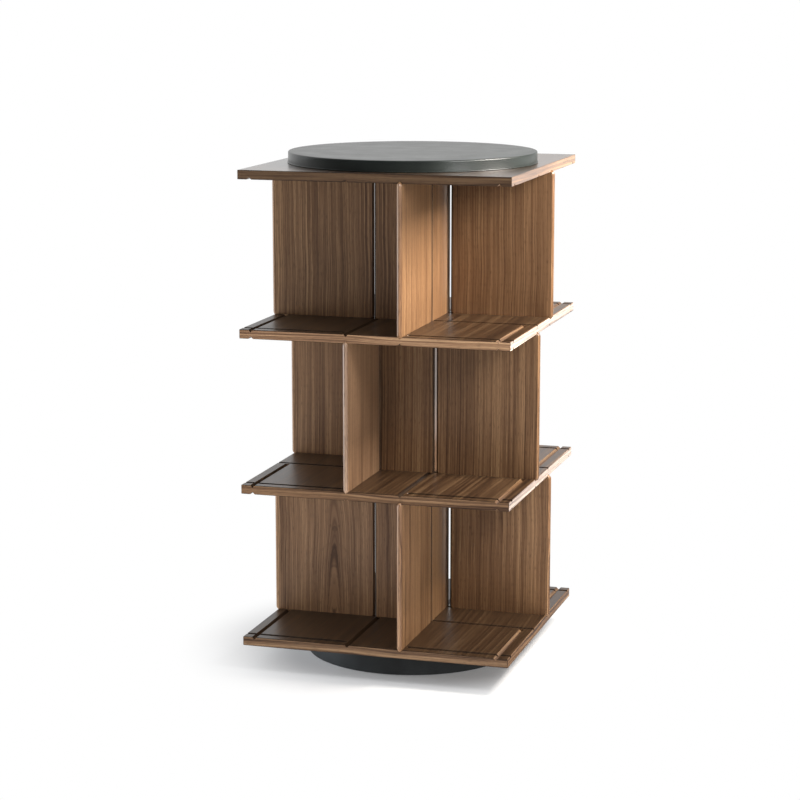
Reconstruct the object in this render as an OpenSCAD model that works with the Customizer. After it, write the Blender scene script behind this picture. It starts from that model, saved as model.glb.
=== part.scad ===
// Rotating bookshelf: three tiers of pinwheel compartments on a turning round base.
// Millimetres, +Z up, front towards -Y. The origin is on the floor, on the turning axis.
// Four square boards and the upright fins between them are held in V grooves by one tie rod.

/* [Boards] */
// Side of each square board
board_side = 600; // [570:5:760]
// Thickness of each board
board_t = 20; // [18:1:30]
// Small chamfer along every edge of a board
board_chamfer = 1; // [0.5:0.25:2]
// Clear height between two boards
tier_clear = 322; // [250:2:400]

/* [Fins and core walls] */
// Thickness of the fins and of the core walls
panel_t = 10; // [8:0.5:12]
// Flat left on a panel's edge between its two bevels
panel_flat = 1.5; // [1:0.5:4]
// Radius of a fin's corners
fin_corner_r = 10; // [7:0.5:20]
// How far a fin stands out past the boards
fin_proud = 7.5; // [0:0.5:12]
// Gap between a fin's inner end and the core wall in line with it
fin_core_gap = 0.4; // [0.2:0.1:3]
// Outside width of the square core
core_w = 130; // [124:1:150]

/* [Grooves] */
// Width of a V groove at the board's face
groove_w = 11; // [9:0.5:13]
// Distance of the outer grooves from the board's edge
edge_groove_inset = 26; // [20:1:40]

/* [Round top] */
// Diameter of the round top
disc_d = 549; // [480:1:560]
// Height of the round top above the boards
disc_h = 25; // [20:1:35]
// Thickness of the leather pad on it, and the radius of its edge
disc_pad_t = 4; // [3:0.5:6]
// Thickness of the leather round its rim
disc_leather_t = 1.5; // [1:0.25:2.5]
// Diameter of the piping at the foot of the rim
piping_d = 3; // [2:0.5:4]
// Diameter of the dowels that locate the round top
dowel_d = 10; // [6:1:12]
// How deep a dowel goes into each of its two pieces
dowel_depth = 12; // [8:1:13]
// Radius of the circle on which the dowels lie
dowel_circle_r = 200; // [150:5:220]

/* [Base] */
// Outside diameter of the round base
base_d = 476; // [420:2:540]
// Height of the base above the floor
base_h = 57; // [48:1:80]
// Open joint between the base and the lowest board
shadow_gap = 4; // [3:0.5:8]
// Thickness of the leather round the base
base_leather_t = 2; // [1:0.25:3]
// Thickness of the steel plate that weights the base
base_plate_t = 8; // [6:1:12]
// Thickness of the felt glides
glide_t = 3; // [2:0.5:5]
// Diameter of the felt glides
glide_d = 30; // [20:1:40]
// Distance from a glide's centre to the edge of the base
glide_inset = 33; // [25:1:50]
// Number of glides
glide_count = 6; // [4:1:8]

/* [Bearing] */
// Diameter of the circle on which the balls run
ball_circle_d = 78; // [76:1:79]
// Diameter of a ball
ball_d = 8; // [6:0.5:9]
// Number of balls
ball_count = 16; // [12:1:18]
// Clearance of a ball in its races and in its cage
ball_clearance = 0.08; // [0.05:0.01:0.1]
// Thickness of each race
race_t = 8; // [6:0.5:10]
// Gap between the two races
race_gap = 2; // [1.8:0.1:2.4]
// Land of a race beside its ball circle
race_land = 6; // [5.5:0.25:6.5]
// Width of the flange that takes a race's screws
race_flange_w = 10; // [9:0.5:10]
// Clearance round the lower race in its pocket
race_pocket_clearance = 0.3; // [0.1:0.1:0.6]
// Thickness of the ball cage
cage_t = 1.4; // [1:0.1:1.4]

/* [Fasteners] */
// Diameter of the race screws
race_screw_d = 4; // [3:0.5:5]
// Diameter of the race screws' heads
race_screw_head_d = 7.5; // [6:0.5:8]
// Length of the race screws
race_screw_l = 20; // [16:1:22]
// Number of screws in each race
race_screw_count = 6; // [4:1:8]
// Diameter of the base plate's screws
plate_screw_d = 6; // [4:0.5:8]
// Diameter of the base plate's screw heads
plate_screw_head_d = 12; // [9:0.5:14]
// Length of the base plate's screws
plate_screw_l = 30; // [20:1:34]
// Radius of the circle on which the base plate's screws lie
plate_screw_circle_r = 150; // [100:5:180]
// Number of screws in the base plate
plate_screw_count = 6; // [4:1:8]
// Diameter of the tie rod
rod_d = 12; // [8:1:14]
// Chamfer on the tie rod's ends
rod_chamfer = 1; // [0.5:0.25:2]
// How far the tie rod stands out past its nuts
rod_past_nut = 1.5; // [0.5:0.5:3]
// Clearance round the tie rod in the boards
rod_clearance = 0.5; // [0.2:0.1:1]
// Width across flats of the tie rod's nuts
nut_flats = 19; // [17:1:24]
// Height of the tie rod's nuts
nut_h = 9; // [6:0.5:10]
// Diameter of the tie rod's washers
washer_d = 40; // [30:1:42]
// Thickness of the tie rod's washers
washer_t = 3; // [2:0.5:3]
// Clearance of screws, nuts and dowels in or on what they fit
fastener_clearance = 0.05; // [0.02:0.01:0.1]
// Clearance round and above the upper washer and nut in the top board
counterbore_clearance = 1; // [0.5:0.5:2]

/* [Hidden] */
$fn = 96;
over = 1;

walnut = "#6a4733";
disc_leather = "#8a918c";
base_leather_colour = "#26282a";
steel = "#b8bcc0";
zinc = "#9a9ea3";
fibreboard = "#a58b68";
felt = "#3a3a3c";

tiers = ["lower", "middle", "upper"];
sides = ["front", "right", "back", "left"];
// Each tier's fins lie to one hand of the core's centre, and the middle tier's to the other.
hands = [1, -1, 1];

bevel = (panel_t - panel_flat) / 2;
seat_depth = (groove_w - panel_flat) / 2;
panel_h = tier_clear + 2 * seat_depth;
core_line = core_w / 2 - panel_t / 2;
edge_line = board_side / 2 - edge_groove_inset;
core_tip = core_w / 2 + bevel;
fin_start = core_tip + fin_core_gap;
fin_l = board_side / 2 + fin_proud - fin_start;

plate_z = glide_t;
drum_z = plate_z + base_plate_t;
boards_z = base_h + shadow_gap;
pitch = board_t + tier_clear;
disc_z = boards_z + 3 * pitch + board_t;

upper_race_z = boards_z - race_t;
lower_race_z = upper_race_z - race_gap - race_t;
ball_z = upper_race_z - race_gap / 2;
ball_r = ball_circle_d / 2;
lower_race_r = [ball_r - race_land, ball_r + race_land + race_flange_w];
upper_race_r = [ball_r - race_land - race_flange_w, ball_r + race_land];
lower_screw_r = lower_race_r[1] - race_flange_w / 2;
upper_screw_r = upper_race_r[0] + race_flange_w / 2;
access_r = lower_race_r[0];
drum_r = base_d / 2 - base_leather_t;
glide_circle_r = base_d / 2 - glide_inset;

disc_r = disc_d / 2;
disc_core_r = disc_r - disc_leather_t;
disc_core_h = disc_h - disc_pad_t;

counterbore_depth = washer_t + nut_h + rod_past_nut + counterbore_clearance;
upper_washer_z = disc_z - counterbore_depth;
lower_washer_z = boards_z - washer_t;
rod_z = lower_washer_z - nut_h - rod_past_nut;
rod_top_z = disc_z - counterbore_clearance;

function fin_name(t, s) = str("fin_", tiers[t], "_", sides[s]);
function core_wall_name(t, s) = str("core_wall_", tiers[t], "_", sides[s]);
function board_z(k) = boards_z + k * pitch;
function panel_z(t) = board_z(t) + board_t - seat_depth;

// Copies on a circle about the turning axis
module on_circle(r, count) {
    for (i = [0 : count - 1]) rotate([0, 0, 360 / count * i]) translate([r, 0, 0]) children();
}

module ring(r_in, r_out, h) {
    rotate_extrude() translate([r_in, 0]) square([r_out - r_in, h]);
}

// Countersunk wood screw with the face of its head at z = 0, pointing down.
// Its clearance grows it into the hole that takes it.
module wood_screw(d, head_d, l, clearance = 0) {
    shank_d = d + 2 * clearance;
    cone_h = (head_d - d) / 2;
    translate([0, 0, -cone_h]) cylinder(d1 = shank_d, d2 = head_d + 2 * clearance, h = cone_h);
    translate([0, 0, d - l]) cylinder(d = shank_d, h = l - d - cone_h);
    translate([0, 0, -l - clearance]) cylinder(d1 = 0, d2 = shank_d, h = d + clearance);
}

// Upright section of a panel, bevelled to a narrow flat at its foot and its head
module panel_section(h) {
    half = [[panel_flat / 2, 0], [panel_t / 2, bevel], [panel_t / 2, h - bevel], [panel_flat / 2, h]];
    polygon(concat(half, [for (i = [3 : -1 : 0]) [-half[i][0], half[i][1]]]));
}

// Plan of the strip along a panel's upright edge, w wide
module edge_section(w) {
    half = [[0, panel_flat / 2], [bevel, panel_t / 2], [w, panel_t / 2]];
    polygon(concat(half, [for (i = [2 : -1 : 0]) [half[i][0], -half[i][1]]]));
}

// Rounded corner of a panel, bevelled like its edges, for its lower end near the origin
module panel_corner(r) {
    half = [[0, panel_t / 2], [r - bevel, panel_t / 2], [r, panel_flat / 2]];
    translate([r, 0, r])
        rotate([90, 180, 0])
            rotate_extrude(angle = 90)
                polygon(concat(half, [for (i = [2 : -1 : 0]) [half[i][0], -half[i][1]]]));
}

// Panel along +X with its foot at z = 0, bevelled all round, with rounded corners
module rounded_panel(l, h, r) {
    translate([r, 0, 0]) rotate([90, 0, 90]) linear_extrude(l - 2 * r) panel_section(h);
    for (end = [0, 1]) {
        translate([end * l, 0, r]) mirror([end, 0, 0]) linear_extrude(h - 2 * r) edge_section(r);
        for (top = [0, 1])
            translate([end * l, 0, top * h])
                mirror([end, 0, 0]) mirror([0, 0, top]) panel_corner(r);
    }
}

// V groove in the face at z = 0, along -Y from y = -start to y = -stop
module groove(x, start, stop) {
    half_w = groove_w / 2;
    translate([x, -start, 0])
        rotate([90, 0, 0])
            linear_extrude(stop - start)
                polygon([[0, -half_w], [half_w + over, over], [-half_w - over, over]]);
}

// The grooves of one face: two lines each way right across the board, in which the panels stand,
// and two lines each way near its edges, which stop in line with the fins' inner ends
module grooves() {
    reach = board_side / 2 + over;
    for (i = [0 : 3]) rotate([0, 0, 90 * i]) {
        groove(core_line, -reach, reach);
        for (line = [-edge_line, edge_line]) groove(line, fin_start, reach);
    }
}

module chamfered_square(w, h, chamfer) {
    x = w / 2;
    polygon([
        [-x + chamfer, 0], [x - chamfer, 0], [x, chamfer], [x, h - chamfer],
        [x - chamfer, h], [-x + chamfer, h], [-x, h - chamfer], [-x, chamfer]
    ]);
}

module board_blank() {
    intersection_for(turn = [0, 90])
        rotate([0, 0, turn])
            translate([0, board_side / 2, 0])
                rotate([90, 0, 0])
                    linear_extrude(board_side) chamfered_square(board_side, board_t, board_chamfer);
}

// Square board k, counted from the bottom, with grooves wherever panels meet it
module board(k) {
    translate([0, 0, board_z(k)]) difference() {
        intersection() {
            board_blank();
            translate([0, -board_side / 2, 0])
                linear_extrude(board_t) chamfered_square(board_side, board_side, board_chamfer);
        }
        if (k < 3) translate([0, 0, board_t]) grooves();
        if (k > 0) mirror([0, 0, 1]) grooves();
        translate([0, 0, -over]) cylinder(d = rod_d + 2 * rod_clearance, h = board_t + 2 * over);
        children();
    }
}

module bottom_board() {
    color(walnut) board(0)
        mirror([0, 0, 1]) translate([0, 0, race_t]) upper_race_screw_set(fastener_clearance);
}

module lower_shelf() {
    color(walnut) board(1);
}

module upper_shelf() {
    color(walnut) board(2);
}

module top_board() {
    color(walnut) board(3) {
        translate([0, 0, board_t - counterbore_depth])
            cylinder(d = washer_d + 2 * counterbore_clearance, h = counterbore_depth + over);
        translate([0, 0, board_t]) dowel_set(fastener_clearance);
    }
}

// One of the four walls of the square core on tier t, which close round it pinwheel fashion:
// its bevelled end meets the fin in line with it, and its square end butts against the next wall
module core_wall(t, s) {
    l = core_tip + core_w / 2 - panel_t;
    hand_flip = hands[t] < 0 ? 1 : 0;
    color(walnut) rotate([0, 0, 90 * s]) mirror([hand_flip, 0, 0])
        translate([-core_tip, -core_line, panel_z(t)]) intersection() {
            linear_extrude(panel_h) edge_section(l);
            rotate([90, 0, 90]) linear_extrude(l) panel_section(panel_h);
        }
}

// Fin on side s of tier t, in line with one of the core's walls
module fin(t, s) {
    color(walnut)
        rotate([0, 0, 90 * s])
            translate([hands[t] * core_line, -fin_start, panel_z(t)])
                rotate([0, 0, -90]) rounded_panel(fin_l, panel_h, fin_corner_r);
}

module glides() {
    color(felt) on_circle(glide_circle_r, glide_count) cylinder(d = glide_d, h = glide_t);
}

// Screws that hold the steel plate up against the base, with their heads at z = 0
module plate_screw_set(clearance) {
    on_circle(plate_screw_circle_r, plate_screw_count) mirror([0, 0, 1])
        wood_screw(plate_screw_d, plate_screw_head_d, plate_screw_l, clearance);
}

module base_plate_screws() {
    color(zinc) translate([0, 0, plate_z]) plate_screw_set(0);
}

module base_plate() {
    color(steel) translate([0, 0, plate_z]) difference() {
        ring(access_r, drum_r, base_plate_t);
        plate_screw_set(fastener_clearance);
    }
}

// Solid round block with the bearing's pocket and the hole through which its screws are reached
module base_drum() {
    color(fibreboard) difference() {
        translate([0, 0, drum_z]) ring(access_r, drum_r, base_h - drum_z);
        translate([0, 0, lower_race_z])
            cylinder(r = lower_race_r[1] + race_pocket_clearance, h = base_h - lower_race_z + over);
        translate([0, 0, lower_race_z + race_t]) lower_race_screw_set(fastener_clearance);
        translate([0, 0, plate_z]) plate_screw_set(fastener_clearance);
    }
}

module base_leather() {
    color(base_leather_colour) translate([0, 0, plate_z])
        ring(drum_r, drum_r + base_leather_t, base_h - plate_z);
}

// Race with its ball track in its upper face
module race(radii) {
    rotate_extrude() difference() {
        translate([radii[0], 0]) square([radii[1] - radii[0], race_t]);
        translate([ball_r, race_t + race_gap / 2]) circle(r = ball_d / 2 + ball_clearance);
    }
}

// Screws of each race, with their heads at z = 0
module lower_race_screw_set(clearance) {
    on_circle(lower_screw_r, race_screw_count)
        wood_screw(race_screw_d, race_screw_head_d, race_screw_l, clearance);
}

module upper_race_screw_set(clearance) {
    on_circle(upper_screw_r, race_screw_count)
        wood_screw(race_screw_d, race_screw_head_d, race_screw_l, clearance);
}

module lower_race() {
    color(steel) translate([0, 0, lower_race_z]) difference() {
        race(lower_race_r);
        translate([0, 0, race_t]) lower_race_screw_set(fastener_clearance);
    }
}

module lower_race_screws() {
    color(zinc) translate([0, 0, lower_race_z + race_t]) lower_race_screw_set(0);
}

module upper_race() {
    color(steel) translate([0, 0, boards_z]) mirror([0, 0, 1]) difference() {
        race(upper_race_r);
        translate([0, 0, race_t]) upper_race_screw_set(fastener_clearance);
    }
}

module upper_race_screws() {
    color(zinc) translate([0, 0, upper_race_z]) mirror([0, 0, 1]) upper_race_screw_set(0);
}

// Flat ring between the races that spaces the balls
module ball_cage() {
    cage_land = race_land - ball_clearance;
    color(zinc) translate([0, 0, ball_z - cage_t / 2]) difference() {
        ring(ball_r - cage_land, ball_r + cage_land, cage_t);
        translate([0, 0, -over]) on_circle(ball_r, ball_count)
            cylinder(r = ball_d / 2 + ball_clearance, h = cage_t + 2 * over);
    }
}

module bearing_balls() {
    color(steel) translate([0, 0, ball_z]) on_circle(ball_r, ball_count) sphere(d = ball_d);
}

module tie_rod() {
    r = rod_d / 2;
    l = rod_top_z - rod_z;
    color(zinc) translate([0, 0, rod_z]) rotate_extrude() polygon([
        [0, 0], [r - rod_chamfer, 0], [r, rod_chamfer], [r, l - rod_chamfer], [r - rod_chamfer, l], [0, l]
    ]);
}

// Hexagon nut round the tie rod, with its corners turned off at both faces
module nut() {
    flat_r = nut_flats / 2;
    corner_r = flat_r / cos(30);
    drop = (corner_r - flat_r) * tan(30);
    difference() {
        intersection() {
            cylinder(r = corner_r, h = nut_h, $fn = 6);
            rotate_extrude() polygon([
                [0, 0], [flat_r, 0], [corner_r, drop], [corner_r, nut_h - drop], [flat_r, nut_h], [0, nut_h]
            ]);
        }
        translate([0, 0, -over]) cylinder(d = rod_d + 2 * fastener_clearance, h = nut_h + 2 * over);
    }
}

module washer() {
    ring(rod_d / 2 + fastener_clearance, washer_d / 2, washer_t);
}

module lower_washer() {
    color(zinc) translate([0, 0, lower_washer_z]) washer();
}

module lower_nut() {
    color(zinc) translate([0, 0, lower_washer_z - nut_h]) nut();
}

module upper_washer() {
    color(zinc) translate([0, 0, upper_washer_z]) washer();
}

module upper_nut() {
    color(zinc) translate([0, 0, upper_washer_z + washer_t]) nut();
}

// Dowels centred on the joint between the top board and the round top
module dowel_set(clearance) {
    depth = dowel_depth + clearance;
    rotate([0, 0, 45]) on_circle(dowel_circle_r, 4)
        translate([0, 0, -depth]) cylinder(d = dowel_d + 2 * clearance, h = 2 * depth);
}

module disc_dowels() {
    color(walnut) translate([0, 0, disc_z]) dowel_set(0);
}

module disc_core() {
    color(fibreboard) translate([0, 0, disc_z]) difference() {
        cylinder(r = disc_core_r, h = disc_core_h);
        dowel_set(fastener_clearance);
    }
}

// Round cord in the corner between the top board and the rim
module disc_piping() {
    color(disc_leather) translate([0, 0, disc_z + piping_d / 2])
        rotate_extrude() translate([disc_core_r + piping_d / 2, 0]) circle(d = piping_d);
}

module disc_leather_rim() {
    color(disc_leather) translate([0, 0, disc_z + piping_d])
        ring(disc_core_r, disc_r, disc_core_h - piping_d);
}

// Leather pad over the whole top, rounded down to the rim
module disc_leather_top() {
    color(disc_leather) translate([0, 0, disc_z + disc_core_h]) rotate_extrude() intersection() {
        square([disc_r, disc_pad_t]);
        union() {
            square([disc_r - disc_pad_t, disc_pad_t]);
            translate([disc_r - disc_pad_t, 0]) circle(r = disc_pad_t);
        }
    }
}

glides();
base_plate();
base_plate_screws();
base_drum();
base_leather();
lower_race();
lower_race_screws();
ball_cage();
bearing_balls();
upper_race();
upper_race_screws();
bottom_board();
lower_shelf();
upper_shelf();
top_board();
for (t = [0 : 2], s = [0 : 3]) {
    core_wall(t, s);
    fin(t, s);
}
tie_rod();
lower_washer();
lower_nut();
upper_washer();
upper_nut();
disc_dowels();
disc_core();
disc_piping();
disc_leather_rim();
disc_leather_top();
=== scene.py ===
import math

import bmesh
import bpy
from mathutils import Matrix, Vector


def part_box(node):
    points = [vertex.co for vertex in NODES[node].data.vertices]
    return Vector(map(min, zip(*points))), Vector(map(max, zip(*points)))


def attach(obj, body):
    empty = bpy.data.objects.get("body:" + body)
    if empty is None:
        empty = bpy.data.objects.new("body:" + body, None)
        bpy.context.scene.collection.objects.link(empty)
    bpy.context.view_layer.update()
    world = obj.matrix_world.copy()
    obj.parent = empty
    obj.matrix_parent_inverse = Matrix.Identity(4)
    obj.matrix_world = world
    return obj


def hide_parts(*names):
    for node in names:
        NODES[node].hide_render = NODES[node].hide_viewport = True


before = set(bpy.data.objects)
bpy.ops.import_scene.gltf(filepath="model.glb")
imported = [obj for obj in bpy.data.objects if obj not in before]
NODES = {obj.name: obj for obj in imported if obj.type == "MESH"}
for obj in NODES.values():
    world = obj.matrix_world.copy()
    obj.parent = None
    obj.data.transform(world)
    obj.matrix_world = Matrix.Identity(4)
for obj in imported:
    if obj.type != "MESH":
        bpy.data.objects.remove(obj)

bl_info = {
    "name": "Rotating Bookshelf",
    "version": (1, 0, 0),
    "blender": (4, 5, 0),
    "location": "3D View > Sidebar > Bookshelf",
    "description": "Dresses a rotating walnut bookshelf with a leather-covered round top and base",
    "category": "Object",
}

# Boards and tiers from the bottom up, and sides in quarter turns from the front, anticlockwise
# seen from above.
BOARDS = ("bottom_board", "lower_shelf", "upper_shelf", "top_board")
TIERS = ("lower", "middle", "upper")
SIDES = ("front", "right", "back", "left")

# Lengths in metres that differ by less than this are taken as the same.
CLOSE = 1e-5


def srgb(code):
    """Linear RGBA of an sRGB colour written as a hex code."""
    channels = [int(code[i:i + 2], 16) / 255 for i in (1, 3, 5)]
    return [c / 12.92 if c <= 0.04045 else ((c + 0.055) / 1.055) ** 2.4 for c in channels] + [1.0]


# Settings

def colour_property(name, code, description):
    """A colour that a user can change, written as a hex code."""
    return bpy.props.FloatVectorProperty(
        name=name, description=description, subtype="COLOR", size=4,
        min=0.0, max=1.0, default=srgb(code))


def length_property(name, metres, description):
    """A length that a user can change."""
    return bpy.props.FloatProperty(
        name=name, description=description, unit="LENGTH", subtype="DISTANCE",
        min=0.0, default=metres)


def place_property(name, metres, description):
    """A place in the room that a user can change."""
    return bpy.props.FloatVectorProperty(
        name=name, description=description, unit="LENGTH", subtype="TRANSLATION",
        size=3, default=metres)


def angle_property(name, degrees, description):
    """An angle that a user can change, written in degrees."""
    return bpy.props.FloatProperty(
        name=name, description=description, subtype="ANGLE", default=math.radians(degrees))


def power_property(name, watts, description):
    """The power of a light that a user can change."""
    return bpy.props.FloatProperty(
        name=name, description=description, unit="POWER", min=0.0, default=watts)


def factor_property(name, value, description):
    """A share from 0 to 1 that a user can change."""
    return bpy.props.FloatProperty(
        name=name, description=description, subtype="FACTOR", min=0.0, max=1.0, default=value)


def level_property(name, level, description):
    """A level that a user can change, which may be over 1."""
    return bpy.props.FloatProperty(name=name, description=description, min=0.0, default=level)


def levels_property(name, levels, description):
    """A row of levels that a user can change."""
    return bpy.props.FloatVectorProperty(
        name=name, description=description, size=len(levels), min=0.0, default=levels)


def count_property(name, count, description):
    """A number of pieces that a user can change."""
    return bpy.props.IntProperty(name=name, description=description, min=1, default=count)


class WalnutSettings(bpy.types.PropertyGroup):
    light: colour_property("Early wood", "#ba936a", "Colour of the palest stripes")
    middle: colour_property("Walnut", "#876344", "Colour between the stripes")
    dark: colour_property("Late wood", "#4f3523", "Colour of the dark stripes")
    pore: colour_property("Pores", "#2a190f", "Colour of the open pores")
    stripe_width: length_property("Stripe width", 0.0021, "Usual width of a stripe of grain")
    stripe_length: length_property("Stripe length", 0.7, "Usual length of a stripe of grain")
    band_width: length_property("Band width", 0.016, "Usual width of a paler or darker band")
    band_length: length_property("Band length", 1.0, "Usual length of a paler or darker band")
    fibre_width: length_property("Fibre width", 0.0011, "Width of the finest lines that show")
    fibre_length: length_property("Fibre length", 0.09, "Length of the finest lines that show")
    pore_length: length_property("Pore length", 0.014, "Length of a pore along the grain")
    bend: length_property("Bend", 0.012, "How far the stripes bend to one side")
    bend_length: length_property("Bend length", 0.25, "Length over which the stripes bend")
    relief: length_property("Relief", 0.0003, "Depth of the fibres in the surface")
    roughness: factor_property("Roughness", 0.34, "Roughness of the satin lacquer")
    coat: factor_property("Coat", 0.12, "Share of gloss in the panels' lacquer")


class ToneAndPaintedLightSettings(bpy.types.PropertyGroup):
    """How pale each piece of walnut is drawn. A tone of 1 leaves the wood's colours as they are. Besides
    the wood's own tone, the tones carry painted light and shade: painted shade on the boards' faces, in
    the joints, on the grooves' slopes and on the panels that run from side to side, and painted light on
    the side edges, the panels that run from front to back, the fins' outer edges and the outward slopes
    near the side edges; the lippings carry both. Rows of tones go from the bottom up."""
    # The faces' tones are partly the boards' darker wood and partly painted shade on the shelves' floors.
    boards: levels_property("Boards", (0.18, 0.29, 0.22, 0.26), "Tones of the boards' faces")
    # The lippings' tones are partly the planks' own tone and partly painted light and shade.
    lippings: levels_property(
        "Lippings", (0.58, 0.75, 1.25, 0.42), "Tones of the boards' front and back edges")
    # The side edges' high tones are a painted highlight, drawn paler and greyer.
    lit_side_edges: levels_property("Side edges", (0.72, 1.65, 1.65, 0.75), "Tones of the boards' side edges")
    # Painted shade on the grooves' slopes, and painted light on the outward slopes near the side edges.
    slope: level_property("Slopes", 0.1, "Tone of the slopes in the boards' grooves")
    lit_outer_slope: level_property(
        "Outer slopes", 0.6, "Tone of the slopes that look outwards in the grooves near the side edges")
    # Painted light on the panels that run from front to back, and painted shade on those that run from
    # side to side.
    lit_deep_panels: levels_property(
        "Deep panels", (1.14, 1.27, 1.12), "Tones of the panels that run from front to back")
    shaded_wide_panels: levels_property(
        "Wide panels", (0.86, 0.83, 0.8), "Tones of the panels that run from side to side")
    # Painted shade on the bevels in the joints.
    joint: level_property("Joints", 0.35, "Share of a panel's tone on its bevels in the joints")
    # Painted light on the fins' outer edges.
    lit_fin_edge: level_property("Fins' edges", 1.1, "Share of a fin's tone on its outer edge")
    contrast: level_property("Contrast", 1.35, "Contrast of the boards' stripes, beside the panels'")
    spread: level_property("Spread", 1.9, "Width of the boards' stripes, beside the panels'")
    coats: levels_property("Coats", (0.04, 0.08, 0.08, 0.8), "Shares of gloss in the boards' lacquer")


class FinSettings(bpy.types.PropertyGroup):
    corner: length_property("Corner radius", 0.010, "Radius of a fin's corners")
    bevel: length_property("Bevel", 0.00425, "Width of the bevel along each edge of a fin")
    joint_right: bpy.props.FloatVectorProperty(
        name="Joint at the right", description="Drawback of the right-hand fins, from the lower tier up",
        unit="LENGTH", size=3, min=0.0, default=(0.0036, 0.0042, 0.0028))
    joint: length_property("Joint", 0.0004, "Drawback of any other fin from the core")


class LeatherSettings(bpy.types.PropertyGroup):
    top: colour_property("Grey leather", "#272d2a", "Colour of the leather on the round top")
    top_shade: colour_property("Grey leather shade", "#1f2422", "Darker mottling of that leather")
    top_roughness: factor_property("Grey leather roughness", 0.38, "Roughness of that leather")
    base: colour_property("Black leather", "#26292a", "Colour of the leather round the base")
    base_shade: colour_property("Black leather shade", "#1e2021", "Darker mottling of that leather")
    base_roughness: factor_property("Black leather roughness", 0.42, "Roughness of that leather")
    grain_size: length_property("Grain size", 0.0016, "Size of a pebble of the leather's grain")
    mottle_size: length_property("Mottle size", 0.06, "Size of the paler and darker patches")
    edge_radius: length_property("Edge radius", 0.0025, "Radius of the round top's upper edge")
    seam_width: length_property("Seam width", 0.0012, "Width of a seam in the leather")
    seam_depth: length_property("Seam depth", 0.0005, "Depth of a seam in the leather")


class BaseSettings(bpy.types.PropertyGroup):
    skin: length_property("Skin", 0.002, "Thickness of the leather round the base")
    turned_edge: length_property("Turned edge", 0.0012, "Radius at which the leather turns over an edge")
    glide_count: count_property("Glides", 6, "Number of felt glides under the base")
    glide_radius: length_property("Glide radius", 0.015, "Radius of a felt glide")
    glide_edge: length_property("Glide edge", 0.0008, "Bevel of a felt glide's lower edge")


class ScrewSettings(bpy.types.PropertyGroup):
    count: count_property("Screws", 6, "Number of screws in the base plate")
    head: length_property("Head", 0.006, "Radius of a screw's head")
    shank: length_property("Shank", 0.003, "Radius of a screw's shank")
    tip: length_property("Tip", 0.001, "Bevel at the end of a screw")
    socket: length_property("Socket", 0.0023, "Radius of the hexagon socket, at its corners")
    socket_depth: length_property("Socket depth", 0.0025, "Depth of the hexagon socket")


class StageSettings(bpy.types.PropertyGroup):
    camera_place: place_property("Camera place", (1.449, -4.923, 1.543), "Where the camera stands")
    camera_yaw: angle_property("Camera yaw", 16.714, "Turn of the camera to its left")
    camera_pitch: angle_property("Camera pitch", 10.71, "Tilt of the camera below the horizon")
    lens: bpy.props.FloatProperty(
        name="Lens", description="Focal length in millimetres", unit="CAMERA", min=10.0, default=104.57)
    key_place: place_property("Key place", (1.18, 0.0, 1.59), "Where the softbox at the right stands")
    key_aim: length_property("Key aim", 0.65, "Height that the softbox at the right faces")
    key_size: length_property("Key size", 0.5, "Width of the softbox at the right")
    key_power: power_property("Key power", 46.0, "Power of the softbox at the right")
    key_colour: colour_property("Key colour", "#fff8f0", "Colour of the softbox at the right")
    fill_place: place_property("Fill place", (-2.5, -0.6, 0.4), "Where the softbox at the left stands")
    fill_aim: length_property("Fill aim", 0.5, "Height that the softbox at the left faces")
    fill_size: length_property("Fill size", 0.8, "Width of the softbox at the left")
    fill_power: power_property("Fill power", 54.0, "Power of the softbox at the left")
    fill_colour: colour_property("Fill colour", "#e9f3ff", "Colour of the softbox at the left")
    front_place: place_property("Front place", (1.35, -0.9, 1.5), "Where the front softbox stands")
    front_aim: length_property("Front aim", 0.7, "Height that the front softbox faces")
    front_size: length_property("Front size", 0.5, "Width of the front softbox")
    front_power: power_property("Front power", 12.0, "Power of the front softbox")
    front_colour: colour_property("Front colour", "#ffffff", "Colour of the front softbox")
    ambient: level_property("Ambient", 0.48, "Level of the light from all round")
    white: colour_property("White", "#ffffff", "Colour of the surroundings and of a floor seen straight")
    wall_turn: angle_property("Wall turn", 45.0, "Turn to the left of the white wall seen in the gloss")
    floor_width: length_property("Floor width", 60.0, "Width of the floor")
    floor_colour: colour_property("Floor colour", "#e7e7e7", "Colour of the floor under the lights")
    floor_lift: factor_property("Floor lift", 0.15, "Light added to the floor seen straight by the base")
    floor_glow: level_property("Floor glow", 1.1, "Light that the floor sends up round the base")
    shadow_start: length_property("Shadow start", 0.26, "Radius to which the floor shows all its shadow")
    shadow_end: length_property("Shadow end", 0.55, "Radius from which the floor shows none")


# Materials

def set_inputs(node, inputs):
    """Sets inputs of a node to values, or links them to the outputs of other nodes."""
    for key, value in inputs.items():
        if isinstance(value, bpy.types.NodeSocket):
            node.id_data.links.new(value, node.inputs[key])
        else:
            node.inputs[key].default_value = value


def add_node(tree, kind, inputs=None, **settings):
    """Adds a node with its settings, and sets or links its inputs."""
    node = tree.nodes.new(kind)
    for name, value in settings.items():
        setattr(node, name, value)
    set_inputs(node, inputs or {})
    return node


def set_ramp(node, stops):
    """Gives a colour ramp its stops, as pairs of place and linear RGBA, in rising order."""
    ramp = node.color_ramp
    first, last = ramp.elements
    first.position, first.color = stops[0]
    last.position, last.color = stops[-1]
    for place, colour in stops[1:-1]:
        ramp.elements.new(place).color = colour


def new_material(name):
    """A new material, its node tree and its Principled shader."""
    material = bpy.data.materials.new(name)
    material.use_nodes = True
    tree = material.node_tree
    shader = tree.nodes["Principled BSDF"]
    return material, tree, shader


def dress(node_name, material):
    """Puts a material in every slot of a node."""
    obj = NODES[node_name]
    if not obj.data.materials:
        obj.data.materials.append(material)
    for i in range(len(obj.data.materials)):
        obj.data.materials[i] = material


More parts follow.
